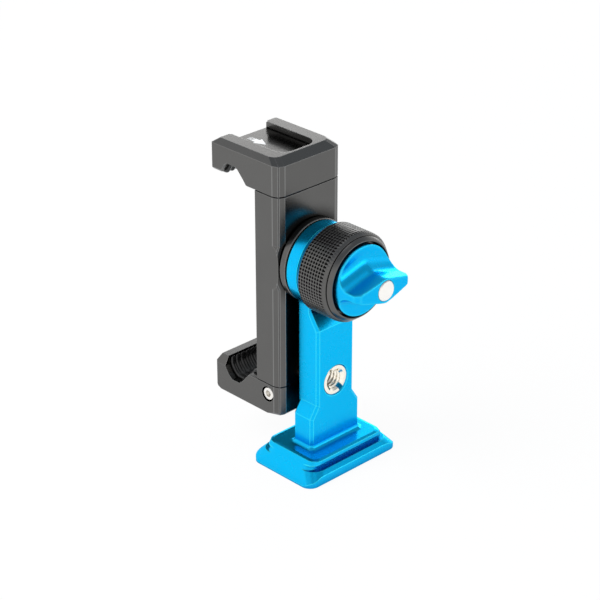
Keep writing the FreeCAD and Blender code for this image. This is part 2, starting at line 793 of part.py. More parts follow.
def lowerJaw():
    tipTop = lowerHollow[-1][1]
    bottom = lowerBottomZ
    outline = [(bodyFrontY, seamLowZ)] + lowerHollow
    outline += [(lowerTipY - 1.3, tipTop), (lowerTipY, tipTop - 2.3), (lowerTipY, bottom + 2),
                (lowerTipY - 0.6, bottom + 0.6), (lowerTipY - 2, bottom), (bodyFrontY, bottom)]
    jaw = prismX(outline, -halfWidth, halfWidth)
    jaw = jaw.common(prismZ(bodyPlan(lowerTipY), bottom, tipTop))
    shoulder = [(halfWidth, tipTop - 3), (halfWidth + 1, tipTop - 3), (halfWidth + 1, tipTop + 1),
                (halfWidth - 1.5, tipTop + 1), (halfWidth - 1.5, tipTop)]
    bevel = prismY(shoulder, lowerHollow[-2][0] - 1, lowerTipY + 1)
    jaw = jaw.makeChamfer(edgeBreak, seamEdges(jaw, seamLowZ))
    toe = [e for e in jaw.Edges if all(abs(v.Point.z - bottom) < 0.01 for v in e.Vertexes)
           and e.CenterOfMass.y < bodyFrontY + facetSize]
    jaw = jaw.makeChamfer(lowerBottomChamfer, toe)
    jaw = jaw.cut(bothSides(bevel) + cornerLines(bottom - 1, seamLowZ + 1))
    g = tenonGap
    cuts = [block(-tenonHalf - g, tenonHalf + g, tenonFrontY - g, tenonBackY + g,
                  tenonLowZ - g, seamLowZ + 1)]
    for side in (-1, 1):
        seat = side * (halfWidth - cheekHeadSink - cheekHeadLength)
        cuts.append(rodX(cheekScrewY, cheekScrewZ, cheekScrewR, 0, side * halfWidth))
        cuts.append(rodX(cheekScrewY, cheekScrewZ, cheekBoreR, seat, side * (halfWidth + 1)))
    return jaw.cut(cuts)


def cheekScrews():
    outer = halfWidth - cheekHeadSink
    seat = outer - cheekHeadLength
    shank = rodX(cheekScrewY, cheekScrewZ, cheekScrewR, cheekScrewReach, seat + 0.1)
    head = rodX(cheekScrewY, cheekScrewZ, cheekHeadR, seat, outer)
    rim = [e for e in head.Edges if abs(e.CenterOfMass.x - outer) < 0.01]
    screw = shank.fuse(head.makeChamfer(0.3, rim)).removeSplitter()
    screw = screw.cut(hexPrismX(cheekScrewY, cheekScrewZ, hexSocketAcross,
                                outer - hexSocketDepth, outer + 1))
    return group(bothSides(screw))


save("arm_bracket", armBracket())
save("thread_insert", threadInsert())
save("column_housing", columnHousing())
save("swivel_flange", swivelFlange())
save("flange_screws", flangeScrews())
save("spindle", spindle())
save("friction_washer", frictionWasher())
save("thrust_washer", thrustWasherDisc())
save("lock_ring", lockRing())
save("spindle_clip", spindleClip())
save("wing_knob", wingKnob())
save("knob_stud", knobStud())
save("brake_shoe", brakeShoe())
save("upper_jaw", upperJaw())
save("clamp_bar", clampBar())
save("guide_bolts", guideBolts())
save("jaw_springs", jawSprings())
save("upper_grip", upperGrip())
save("lower_jaw", lowerJaw())
save("lower_grip", lowerGrip())
save("lower_jaw_screws", cheekScrews())
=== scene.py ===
import math

import bmesh
import bpy
from mathutils import Matrix, Vector


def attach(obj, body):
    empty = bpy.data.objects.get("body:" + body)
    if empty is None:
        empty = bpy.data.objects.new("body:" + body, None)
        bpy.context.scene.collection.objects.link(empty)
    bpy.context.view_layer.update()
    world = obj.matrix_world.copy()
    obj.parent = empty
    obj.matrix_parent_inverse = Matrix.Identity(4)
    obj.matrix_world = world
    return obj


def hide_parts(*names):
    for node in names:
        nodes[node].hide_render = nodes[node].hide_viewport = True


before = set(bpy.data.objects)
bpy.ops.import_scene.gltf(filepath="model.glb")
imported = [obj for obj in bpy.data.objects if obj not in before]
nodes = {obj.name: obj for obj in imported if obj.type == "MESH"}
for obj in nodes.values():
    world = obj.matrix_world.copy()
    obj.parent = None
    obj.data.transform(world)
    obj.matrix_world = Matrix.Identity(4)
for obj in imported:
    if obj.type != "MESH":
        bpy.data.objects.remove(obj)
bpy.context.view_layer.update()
mm = 0.001
pivotHeight = 64.5
print("frame loaded,", len(nodes), "nodes")


# mesh helpers, all sizes in millimetres

def meshPiece(name, points, faces, material, sharpAngle=32):
    mesh = bpy.data.meshes.new(name)
    mesh.from_pydata([(x * mm, y * mm, z * mm) for x, y, z in points], [], faces)
    mesh.validate()
    mesh.shade_smooth()
    mesh.set_sharp_from_angle(angle=math.radians(sharpAngle))
    mesh.materials.append(material)
    piece = bpy.data.objects.new(name, mesh)
    bpy.context.scene.collection.objects.link(piece)
    return piece


def bakeModifiers(piece):
    # the piece keeps the mesh that its modifiers make
    graph = bpy.context.evaluated_depsgraph_get()
    finished = bpy.data.meshes.new_from_object(piece.evaluated_get(graph))
    piece.modifiers.clear()
    piece.data = finished


def softCorners(outline, radius, steps=2, mostCut=0.45):
    # an open (r, y) outline with each corner rounded a little
    soft = [outline[0]]
    for before, corner, after in zip(outline, outline[1:], outline[2:]):
        p, c, n = (Vector(v) for v in (before, corner, after))
        cut = min(radius, (p - c).length * mostCut, (n - c).length * mostCut)
        start = c + (p - c).normalized() * cut
        end = c + (n - c).normalized() * cut
        for i in range(steps + 1):
            t = i / steps
            soft.append(tuple(start.lerp(c, t).lerp(c.lerp(end, t), t)))
    soft.append(outline[-1])
    return soft


def ringFaces(rows, columns):
    # quads of a grid whose rows and columns both go round
    faces = []
    for i in range(rows):
        for j in range(columns):
            a = i * columns + j
            b = i * columns + (j + 1) % columns
            c = (i + 1) % rows * columns + (j + 1) % columns
            d = (i + 1) % rows * columns + j
            faces.append((a, b, c, d))
    return faces


# shared surface effects

def newGroup(name, inputs, outputs):
    group = bpy.data.node_groups.new(name, "ShaderNodeTree")
    for title, kind, value in inputs:
        socket = group.interface.new_socket(name=title, in_out="INPUT", socket_type=kind)
        socket.default_value = value
    for title, kind in outputs:
        group.interface.new_socket(name=title, in_out="OUTPUT", socket_type=kind)
    entry = group.nodes.new("NodeGroupInput")
    leave = group.nodes.new("NodeGroupOutput")
    return group, entry, leave


def addNode(tree, kind, **settings):
    node = tree.nodes.new(kind)
    for key, value in settings.items():
        setattr(node, key, value)
    return node


def mathNode(tree, operation, first, second=None, third=None):
    node = addNode(tree, "ShaderNodeMath", operation=operation)
    for socket, source in zip(node.inputs, (first, second, third)):
        if source is None:
            continue
        if isinstance(source, (int, float)):
            socket.default_value = source
        else:
            tree.links.new(source, socket)
    return node.outputs[0]


edgeSearch = {"rays": 6, "openLight": 0.96}  # a face with less open light than this is in a hollow


def edgeGroup():
    # softened normal on outer edges, a mask that is 1 on them for painted edge highlights, and a mask for
    # narrow hollows for painted shade
    group, entry, leave = newGroup(
        "softEdge",
        [("Radius", "NodeSocketFloat", 0.0002), ("Strength", "NodeSocketFloat", 3.0),
         ("Hollow Size", "NodeSocketFloat", 0.0006), ("Hollow Gain", "NodeSocketFloat", 3.0)],
        [("Normal", "NodeSocketVector"), ("Edge", "NodeSocketFloat"), ("Hollow", "NodeSocketFloat")])
    bevel = addNode(group, "ShaderNodeBevel", samples=edgeSearch["rays"])
    group.links.new(entry.outputs["Radius"], bevel.inputs["Radius"])
    surface = addNode(group, "ShaderNodeNewGeometry")
    closed = addNode(group, "ShaderNodeAmbientOcclusion", samples=edgeSearch["rays"])
    group.links.new(entry.outputs["Hollow Size"], closed.inputs["Distance"])
    gap = mathNode(group, "SUBTRACT", edgeSearch["openLight"], closed.outputs["AO"])
    hollow = addNode(group, "ShaderNodeMath", operation="MULTIPLY", use_clamp=True)
    group.links.new(gap, hollow.inputs[0])
    group.links.new(entry.outputs["Hollow Gain"], hollow.inputs[1])
    dot = addNode(group, "ShaderNodeVectorMath", operation="DOT_PRODUCT")
    group.links.new(bevel.outputs[0], dot.inputs[0])
    group.links.new(surface.outputs["Normal"], dot.inputs[1])
    turned = mathNode(group, "SUBTRACT", 1.0, dot.outputs["Value"])
    turned = mathNode(group, "SQRT", mathNode(group, "MAXIMUM", turned, 0.0))
    mask = addNode(group, "ShaderNodeMath", operation="MULTIPLY", use_clamp=True)
    group.links.new(turned, mask.inputs[0])
    group.links.new(entry.outputs["Strength"], mask.inputs[1])
    openShare = mathNode(group, "SUBTRACT", 1.0, hollow.outputs[0])
    outer = mathNode(group, "MULTIPLY", mask.outputs[0], openShare)
    normal = addNode(group, "ShaderNodeMix", data_type="VECTOR")
    group.links.new(hollow.outputs[0], normal.inputs["Factor"])
    group.links.new(bevel.outputs[0], normal.inputs["A"])
    group.links.new(surface.outputs["Normal"], normal.inputs["B"])
    unit = addNode(group, "ShaderNodeVectorMath", operation="NORMALIZE")
    group.links.new(normal.outputs["Result"], unit.inputs[0])
    group.links.new(unit.outputs["Vector"], leave.inputs["Normal"])
    group.links.new(outer, leave.inputs["Edge"])
    group.links.new(hollow.outputs[0], leave.inputs["Hollow"])
    return group


def grainGroup():
    # fine blasted grain as height, and a slow cloud for colour and gloss
    group, entry, leave = newGroup(
        "blastedGrain",
        [("Grain Size", "NodeSocketFloat", 0.1), ("Cloud Size", "NodeSocketFloat", 6.0)],
        [("Height", "NodeSocketFloat"), ("Cloud", "NodeSocketFloat")])
    place = addNode(group, "ShaderNodeTexCoord").outputs["Object"]
    for size, detail, target in (("Grain Size", 3.0, "Height"), ("Cloud Size", 2.0, "Cloud")):
        scale = mathNode(group, "DIVIDE", 1000.0, entry.outputs[size])
        noise = addNode(group, "ShaderNodeTexNoise")
        noise.inputs["Detail"].default_value = detail
        group.links.new(place, noise.inputs["Vector"])
        group.links.new(scale, noise.inputs["Scale"])
        group.links.new(noise.outputs["Fac"], leave.inputs[target])
    return group


def turnedGroup():
    # fine rings left by the lathe around an axis along Y
    group, entry, leave = newGroup(
        "turnedRings",
        [("Axis Height", "NodeSocketFloat", 0.0645), ("Spacing", "NodeSocketFloat", 0.12)],
        [("Height", "NodeSocketFloat")])
    place = addNode(group, "ShaderNodeTexCoord").outputs["Object"]
    split = addNode(group, "ShaderNodeSeparateXYZ")
    group.links.new(place, split.inputs[0])
    up = mathNode(group, "SUBTRACT", split.outputs["Z"], entry.outputs["Axis Height"])
    square = mathNode(group, "ADD", mathNode(group, "MULTIPLY", up, up),
                      mathNode(group, "MULTIPLY", split.outputs["X"], split.outputs["X"]))
    radius = mathNode(group, "SQRT", square)
    run = mathNode(group, "ADD", radius, split.outputs["Y"])
    step = mathNode(group, "DIVIDE", mathNode(group, "MULTIPLY", run, 1000.0),
                    entry.outputs["Spacing"])
    noise = addNode(group, "ShaderNodeTexNoise", noise_dimensions="1D")
    noise.inputs["Scale"].default_value = 1.0
    noise.inputs["Detail"].default_value = 1.0
    group.links.new(step, noise.inputs["W"])
    group.links.new(noise.outputs["Fac"], leave.inputs["Height"])
    return group


lineFade = 0.2  # share of a line's width over which its edge fades


def facetLineGroup():
    # masks for painted shade in the groove down the corner facets and around the pivot boss, and for
    # painted highlights on the lips beside it and on the facets' outer edges
    group, entry, leave = newGroup(
        "facetLines",
        [("Groove X", "NodeSocketFloat", 0.0121), ("Groove Y", "NodeSocketFloat", 0.0072),
         ("Boss Radius", "NodeSocketFloat", 0.014), ("Boss Height", "NodeSocketFloat", 0.0645),
         ("Facet", "NodeSocketFloat", 0.0019), ("Setback", "NodeSocketFloat", 0.0008),
         ("Groove Width", "NodeSocketFloat", 0.0002), ("Lip Width", "NodeSocketFloat", 0.0003)],
        [("Groove", "NodeSocketFloat"), ("Lip", "NodeSocketFloat")])
    place = addNode(group, "ShaderNodeTexCoord").outputs["Object"]
    split = addNode(group, "ShaderNodeSeparateXYZ")
    group.links.new(place, split.inputs[0])
    side = mathNode(group, "ABSOLUTE", split.outputs["X"])
    up = mathNode(group, "SUBTRACT", split.outputs["Z"], entry.outputs["Boss Height"])
    reach = mathNode(group, "SQRT", mathNode(group, "MULTIPLY_ADD", side, side,
                                             mathNode(group, "MULTIPLY", up, up)))
    deep = mathNode(group, "SUBTRACT", split.outputs["Y"], entry.outputs["Groove Y"])
    straight = mathNode(group, "SUBTRACT", side, entry.outputs["Groove X"])
    curved = mathNode(group, "SUBTRACT", reach, entry.outputs["Boss Radius"])
    square = mathNode(group, "MULTIPLY", entry.outputs["Boss Radius"], entry.outputs["Boss Radius"])
    inner = mathNode(group, "MULTIPLY", entry.outputs["Groove X"], entry.outputs["Groove X"])
    bossHalf = mathNode(group, "SQRT", mathNode(group, "SUBTRACT", square, inner))
    atBoss = mathNode(group, "LESS_THAN", mathNode(group, "ABSOLUTE", up), bossHalf)
    pick = addNode(group, "ShaderNodeMix")
    group.links.new(atBoss, pick.inputs["Factor"])
    group.links.new(straight, pick.inputs["A"])
    group.links.new(curved, pick.inputs["B"])
    across = pick.outputs["Result"]

    def distance(stepAcross, stepDeep):
        a = mathNode(group, "ADD", across, stepAcross)
        b = mathNode(group, "ADD", deep, stepDeep)
        return mathNode(group, "SQRT", mathNode(group, "MULTIPLY_ADD", a, a,
                                                mathNode(group, "MULTIPLY", b, b)))

    def band(far, width):
        fade = addNode(group, "ShaderNodeMapRange", interpolation_type="SMOOTHSTEP")
        fade.inputs["To Min"].default_value = 1.0
        fade.inputs["To Max"].default_value = 0.0
        group.links.new(mathNode(group, "MULTIPLY", width, 1 - lineFade), fade.inputs["From Min"])
        group.links.new(mathNode(group, "MULTIPLY", width, 1 + lineFade), fade.inputs["From Max"])
        group.links.new(far, fade.inputs["Value"])
        return fade.outputs["Result"]

    middle = distance(0.0, 0.0)
    groove = band(middle, entry.outputs["Groove Width"])
    lipReach = mathNode(group, "ADD", entry.outputs["Groove Width"], entry.outputs["Lip Width"])
    beside = band(middle, lipReach)
    back = mathNode(group, "MULTIPLY", entry.outputs["Facet"], -1.0)
    inward = mathNode(group, "MULTIPLY", entry.outputs["Setback"], -1.0)
    leftEdge = band(distance(inward, back), entry.outputs["Lip Width"])
    frontEdge = band(distance(entry.outputs["Facet"], entry.outputs["Setback"]),
                     entry.outputs["Lip Width"])
    lip = mathNode(group, "MAXIMUM", beside, mathNode(group, "MAXIMUM", leftEdge, frontEdge))
    group.links.new(groove, leave.inputs["Groove"])
    group.links.new(lip, leave.inputs["Lip"])
    return group


softEdge = edgeGroup()
facetLines = facetLineGroup()
blastedGrain = grainGroup()
turnedRings = turnedGroup()


# materials

def surfaceMaterial(name, look):
    # one finish: colour with cloud, painted highlights on edges and painted shade in hollows, gloss,
    # grain and lathe marks
    material = bpy.data.materials.new(name)
    material.use_nodes = True
    tree = material.node_tree
    shader = tree.nodes["Principled BSDF"]
    shader.inputs["Metallic"].default_value = look["metallic"]
    shader.inputs["Specular Tint"].default_value = (*look.get("glanceColour", (1, 1, 1)), 1)
    shader.inputs["Coat Weight"].default_value = look.get("coat", 0.0)
    shader.inputs["Coat Roughness"].default_value = look.get("coatRoughness", 0.2)
    shader.inputs["Anisotropic"].default_value = look.get("anisotropic", 0.0)

    edge = addNode(tree, "ShaderNodeGroup", node_tree=softEdge)
    edge.inputs["Radius"].default_value = look["edgeRadius"] * mm
    edge.inputs["Strength"].default_value = look["edgeStrength"]
    edge.inputs["Hollow Size"].default_value = look["hollowSize"] * mm
    edge.inputs["Hollow Gain"].default_value = look["hollowGain"]
    grain = addNode(tree, "ShaderNodeGroup", node_tree=blastedGrain)
    grain.inputs["Grain Size"].default_value = look["grainSize"]
    grain.inputs["Cloud Size"].default_value = look["cloudSize"]

    tone = addNode(tree, "ShaderNodeMix", data_type="RGBA")
    tone.inputs["A"].default_value = (*look["colour"], 1)
    tone.inputs["B"].default_value = (*look["cloudColour"], 1)
    tree.links.new(grain.outputs["Cloud"], tone.inputs["Factor"])
    # painted highlight: outer edges lightened towards the edge colour by the edge mask
    rim = addNode(tree, "ShaderNodeMix", data_type="RGBA")
    rim.inputs["B"].default_value = (*look["edgeHighlightColour"], 1)
    tree.links.new(tone.outputs["Result"], rim.inputs["A"])
    tree.links.new(edge.outputs["Edge"], rim.inputs["Factor"])
    # painted shade: hollows darkened towards the hollow colour where the hollow mask is high
    paintedShade = addNode(tree, "ShaderNodeMix", data_type="RGBA")
    paintedShade.inputs["B"].default_value = (*look["hollowShadeColour"], 1)
    tree.links.new(rim.outputs["Result"], paintedShade.inputs["A"])
    tree.links.new(edge.outputs["Hollow"], paintedShade.inputs["Factor"])
    finish = paintedShade.outputs["Result"]
    # painted shade down the facet grooves and painted highlights on the lips and facet edges
    if "lipHighlightColour" in look:
        lines = addNode(tree, "ShaderNodeGroup", node_tree=facetLines)
        for title, value in look["lineSizes"].items():
            lines.inputs[title].default_value = value * mm
        for title, colour in (("Lip", look["lipHighlightColour"]), ("Groove", look["grooveShadeColour"])):
            layer = addNode(tree, "ShaderNodeMix", data_type="RGBA")
            layer.inputs["B"].default_value = (*colour, 1)
            tree.links.new(finish, layer.inputs["A"])
            tree.links.new(lines.outputs[title], layer.inputs["Factor"])
            finish = layer.outputs["Result"]
    tree.links.new(finish, shader.inputs["Base Color"])

    spread = addNode(tree, "ShaderNodeMapRange")
    spread.inputs["To Min"].default_value = look["roughness"] - look["glossSpread"]
    spread.inputs["To Max"].default_value = look["roughness"] + look["glossSpread"]
    tree.links.new(grain.outputs["Cloud"], spread.inputs["Value"])
    tree.links.new(spread.outputs["Result"], shader.inputs["Roughness"])

    height = grain.outputs["Height"]
    if "ringSpacing" in look:
        rings = addNode(tree, "ShaderNodeGroup", node_tree=turnedRings)
        rings.inputs["Axis Height"].default_value = look.get("axisHeight", pivotHeight) * mm
        rings.inputs["Spacing"].default_value = look["ringSpacing"]
        height = mathNode(tree, "MULTIPLY_ADD", rings.outputs["Height"], look["ringShare"], height)
    bump = addNode(tree, "ShaderNodeBump")
    bump.inputs["Strength"].default_value = look["bumpStrength"]
    bump.inputs["Distance"].default_value = look["grainDepth"] * mm
    tree.links.new(height, bump.inputs["Height"])
    tree.links.new(edge.outputs["Normal"], bump.inputs["Normal"])
    tree.links.new(bump.outputs[0], shader.inputs["Normal"])
    if "anisotropic" in look:
        around = addNode(tree, "ShaderNodeTangent", direction_type="RADIAL", axis="Y")
        tree.links.new(around.outputs[0], shader.inputs["Tangent"])
    return material


blueLook = {"colour": (0.001, 0.50, 0.92), "cloudColour": (0.001, 0.52, 0.95),
            "edgeHighlightColour": (0.06, 0.88, 1.0), "hollowShadeColour": (0.0, 0.2, 0.5),
            "glanceColour": (0.4, 0.85, 1.0), "metallic": 0.98, "roughness": 0.27, "glossSpread": 0.02,
            "coat": 0.1, "coatRoughness": 0.08,
            "edgeRadius": 0.38, "edgeStrength": 3.2, "hollowSize": 3.5, "hollowGain": 1.4,
            "grainSize": 0.09, "cloudSize": 7.0, "grainDepth": 0.008, "bumpStrength": 0.25}
knobLook = dict(blueLook, colour=(0.001, 0.47, 0.9), cloudColour=(0.001, 0.49, 0.93),
                edgeStrength=3.6, edgeRadius=0.5, hollowSize=2.5)
blackLook = {"colour": (0.118, 0.116, 0.113), "cloudColour": (0.13, 0.128, 0.124),
             "edgeHighlightColour": (0.36, 0.355, 0.35), "hollowShadeColour": (0.002, 0.002, 0.002),
             "glanceColour": (0.8, 0.8, 0.8), "metallic": 1.0, "roughness": 0.23, "glossSpread": 0.02,
             "edgeRadius": 0.2, "edgeStrength": 1.7, "hollowSize": 0.6, "hollowGain": 4.0,
             "grainSize": 0.1, "cloudSize": 9.0, "grainDepth": 0.01, "bumpStrength": 0.3}
facetLine = {"halfWidth": 12.9, "front": 6.4, "facet": 2.7, "middle": 0.791, "bossRadius": 14.0,
             "grooveHalf": 0.2, "lipHalf": 0.16}
housingLook = dict(blackLook, lipHighlightColour=(0.22, 0.218, 0.215), grooveShadeColour=(0.002, 0.002, 0.002),
                   lineSizes={"Groove X": facetLine["halfWidth"] - facetLine["middle"],
                              "Groove Y": facetLine["front"] + facetLine["middle"],
                              "Boss Radius": facetLine["bossRadius"], "Boss Height": pivotHeight,
                              "Facet": facetLine["facet"] - facetLine["middle"],
                              "Setback": facetLine["middle"],
                              "Groove Width": facetLine["grooveHalf"],
                              "Lip Width": facetLine["lipHalf"]})
# column and lower jaw: the housing finish with wider, stronger painted shade in hollows
columnLook = dict(housingLook, hollowSize=5.0, hollowGain=2.2)
ringLook = dict(blackLook, ringSpacing=0.16, ringShare=0.5, edgeRadius=0.06, edgeStrength=0.8)
brightLook = {"colour": (0.86, 0.83, 0.78), "cloudColour": (0.92, 0.9, 0.86),
              "edgeHighlightColour": (0.97, 0.96, 0.94), "hollowShadeColour": (0.3, 0.28, 0.26), "metallic": 1.0,
              "roughness": 0.2, "glossSpread": 0.04, "edgeRadius": 0.1, "edgeStrength": 1.0,
              "hollowSize": 0.5, "hollowGain": 1.0, "grainSize": 0.2, "cloudSize": 3.0,
              "grainDepth": 0.006, "bumpStrength": 0.3, "ringSpacing": 0.15, "ringShare": 0.8}
bushLook = dict(brightLook, axisHeight=27.4, colour=(1.0, 0.93, 0.8), cloudColour=(1.0, 0.95, 0.84),
                roughness=0.14)
studLook = dict(brightLook, colour=(0.98, 0.95, 0.9), cloudColour=(1.0, 0.98, 0.95),
                roughness=0.3, grainSize=0.6, grainDepth=0.008, bumpStrength=0.5, ringSpacing=0.16,
                anisotropic=0.7)
darkSteelLook = dict(brightLook, colour=(0.10, 0.10, 0.105), cloudColour=(0.13, 0.13, 0.135),
                     edgeHighlightColour=(0.25, 0.25, 0.25), hollowShadeColour=(0.01, 0.01, 0.01), roughness=0.35)
wireLook = dict(brightLook, colour=(0.5, 0.5, 0.5), cloudColour=(0.56, 0.56, 0.55), roughness=0.3)
brassLook = dict(brightLook, colour=(0.72, 0.50, 0.19), cloudColour=(0.78, 0.56, 0.24),
                 edgeHighlightColour=(0.9, 0.72, 0.4), hollowShadeColour=(0.3, 0.2, 0.08), roughness=0.28)
washerLook = {"colour": (0.03, 0.03, 0.03), "cloudColour": (0.04, 0.04, 0.04),
              "edgeHighlightColour": (0.07, 0.07, 0.07), "hollowShadeColour": (0.01, 0.01, 0.01),
              "metallic": 0.0, "roughness": 0.6, "glossSpread": 0.05, "edgeRadius": 0.1,
              "edgeStrength": 0.6, "hollowSize": 0.5, "hollowGain": 1.0, "grainSize": 0.15,
              "cloudSize": 4.0, "grainDepth": 0.01, "bumpStrength": 0.3}
rubberLook = {"colour": (0.008, 0.008, 0.008), "cloudColour": (0.012, 0.012, 0.012),
              "edgeHighlightColour": (0.08, 0.08, 0.08), "hollowShadeColour": (0.001, 0.001, 0.001),
              "metallic": 0.0, "roughness": 0.32, "glossSpread": 0.06, "edgeRadius": 0.15,
              "edgeStrength": 0.8, "hollowSize": 0.9, "hollowGain": 2.5, "grainSize": 0.12,
              "cloudSize": 5.0, "grainDepth": 0.02, "bumpStrength": 0.35}
inkLook = {"colour": (0.95, 0.95, 0.94), "cloudColour": (0.98, 0.98, 0.98),
           "edgeHighlightColour": (0.98, 0.98, 0.98), "hollowShadeColour": (0.95, 0.95, 0.95), "metallic": 0.0,
           "roughness": 0.6, "glossSpread": 0.05, "edgeRadius": 0.05, "edgeStrength": 0.5,
           "hollowSize": 0.1, "hollowGain": 0.2, "grainSize": 0.1, "cloudSize": 1.0,
           "grainDepth": 0.01, "bumpStrength": 0.3}

blueAnodised = surfaceMaterial("blueAnodised", blueLook)
knobBlue = surfaceMaterial("blueAnodisedKnob", knobLook)
blackAnodised = surfaceMaterial("blackAnodised", blackLook)
housingBlack = surfaceMaterial("blackAnodisedHousing", housingLook)
columnBlack = surfaceMaterial("blackAnodisedColumn", columnLook)
ringBlack = surfaceMaterial("turnedBlackAnodised", ringLook)
bushSteel = surfaceMaterial("bushSteel", bushLook)
screwSteel = surfaceMaterial("screwSteel", brightLook)
studSteel = surfaceMaterial("turnedStudSteel", studLook)
darkSteel = surfaceMaterial("blackenedSteel", darkSteelLook)
springWire = surfaceMaterial("springWire", wireLook)
turnedBrass = surfaceMaterial("turnedBrass", brassLook)
washerPlastic = surfaceMaterial("washerPlastic", washerLook)
gripRubber = surfaceMaterial("gripRubber", rubberLook)
whiteInk = surfaceMaterial("whiteInk", inkLook)
print("materials made")

nodeFinish = {
    "arm_bracket": blueAnodised, "wing_knob": blueAnodised, "thread_insert": bushSteel,
    "column_housing": columnBlack, "swivel_flange": blackAnodised, "upper_jaw": housingBlack,
    "lower_jaw": columnBlack, "lock_ring": ringBlack, "flange_screws": darkSteel,
    "spindle_clip": darkSteel, "spindle": screwSteel, "knob_stud": studSteel,
    "clamp_bar": screwSteel, "guide_bolts": screwSteel, "lower_jaw_screws": screwSteel,
    "jaw_springs": springWire, "brake_shoe": turnedBrass, "friction_washer": washerPlastic,
    "thrust_washer": washerPlastic, "upper_grip": gripRubber, "lower_grip": gripRubber}
for nodeName, material in nodeFinish.items():
    for slot in nodes[nodeName].material_slots:
        slot.material = material
print("finishes put on the nodes")


# knurled lock ring

lockRing = {"outerR": 13.9, "boreR": 6.05, "backY": -2.2, "knurlBackY": -2.7, "knurlFrontY": -11.4,
            "bandR": 13.8, "bandY": -12.25, "lineR": 12.95, "lineY": -13.1, "lineSize": 0.3,
            "frontR": 12.0, "frontY": -14.65, "pocketR": 11.7, "pocketY": -11.1,
            "pitsRound": 81, "firstPitTurn": 2.85, "firstPitY": -3.1, "pitPitch": 1.0375,
            "pitDepth": 0.42, "pitEdge": 0.02, "pitSlope": 0.62, "stepsPerPit": 8, "leadSteps": 2,
            "lastPitY": -11.75, "cornerRadius": 0.18, "backRadius": 0.1, "sharpAngle": 50}


def pitShare(size, turn, along):
    # 1 in the middle of a pit and 0 on the ridges; both places are counted in pits
    lattice = (math.cos(2 * math.pi * turn) + math.cos(2 * math.pi * along)) / 2
    share = min(1.0, max(0.0, (lattice - size["pitEdge"]) / size["pitSlope"]))
    return share * share * (3 - 2 * share)


def makeLockRing(size):
    s = size
    columns = s["pitsRound"] * s["stepsPerPit"]
    step = s["pitPitch"] / s["stepsPerPit"]
    frontTaper = (s["outerR"] - s["bandR"]) / (s["knurlFrontY"] - s["bandY"])
    back = [(s["boreR"], s["backY"]), (s["outerR"] - s["backY"] + s["knurlBackY"], s["backY"]),
            (s["outerR"], s["knurlBackY"])]
    front = [(s["bandR"], s["bandY"]), (s["lineR"], s["lineY"]),
             (s["lineR"] - s["lineSize"], s["lineY"]),
             (s["lineR"] - s["lineSize"], s["lineY"] - s["lineSize"]),
             (s["lineR"], s["lineY"] - s["lineSize"]), (s["frontR"], s["frontY"]),
             (s["pocketR"], s["frontY"]), (s["pocketR"], s["pocketY"]), (s["boreR"], s["pocketY"])]
    profile = [(r, y, None) for r, y in softCorners(back, s["backRadius"])]
    y = s["firstPitY"] + step * s["leadSteps"]
    while y > s["lastPitY"]:
        r = s["outerR"] - max(0.0, s["knurlFrontY"] - y) * frontTaper
        profile.append((r, y, (s["firstPitY"] - y) / s["pitPitch"]))
        y -= step
    profile += [(r, y, None) for r, y in softCorners(front, s["cornerRadius"])]
    points = []
    for r, y, along in profile:
        for j in range(columns):
            deep = 0.0
            if along is not None:
                deep = s["pitDepth"] * pitShare(s, j / s["stepsPerPit"], along)
            angle = math.radians(s["firstPitTurn"]) + 2 * math.pi * j / columns
            points.append(((r - deep) * math.cos(angle), y, pivotHeight + (r - deep) * math.sin(angle)))
    faces = ringFaces(len(profile), columns)
    piece = meshPiece("knurledLockRing", points, faces, ringBlack, s["sharpAngle"])
    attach(piece, "ring")
    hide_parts("lock_ring")


makeLockRing(lockRing)
print("lock ring knurled")


# wing knob with rounded edges

softKnob = {"grid": 0.16, "rounds": 22, "share": 0.5}


def makeSoftKnob(size):
    # the knob's own form on an even grid, smoothed so that its edges catch the light
    source = nodes["wing_knob"]
    mesh = source.data.copy()
    mesh.transform(source.matrix_world)
    piece = bpy.data.objects.new("softWingKnob", mesh)
    bpy.context.scene.collection.objects.link(piece)
    even = piece.modifiers.new("even", "REMESH")
    even.mode = "VOXEL"
    even.voxel_size = size["grid"] * mm
    soft = piece.modifiers.new("soft", "SMOOTH")
    soft.factor = size["share"]
    soft.iterations = size["rounds"]
    bakeModifiers(piece)
    piece.data.shade_smooth()
    piece.data.materials.clear()
    piece.data.materials.append(knobBlue)
    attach(piece, "knob")
    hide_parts("wing_knob")


makeSoftKnob(softKnob)
print("knob rounded")


# threaded steel bush

bush = {"outerR": 4.76, "frontY": -4.4, "backY": 3.4, "height": 27.4, "threadR": 3.175,
        "threadDepth": 0.6, "threadPitch": 1.27, "mouth": 0.45, "rim": 0.22, "columns": 96,
        "rootFlat": 0.12, "flankShare": 0.72, "rimBulge": 0.3, "rowsPerPitch": 12, "slotWidth": 1.6,
        "slotDepth": 1.4, "slotTurn": 57, "cutOver": 1, "sharpAngle": 35}


def threadRadius(size, turn, along):
    # V thread with small flats at crest and root
    phase = (along / size["threadPitch"] - turn) % 1.0
    ridge = 1 - abs(2 * phase - 1)
    ridge = min(1.0, max(0.0, (ridge - size["rootFlat"]) / size["flankShare"]))
    return size["threadR"] - size["threadDepth"] * ridge


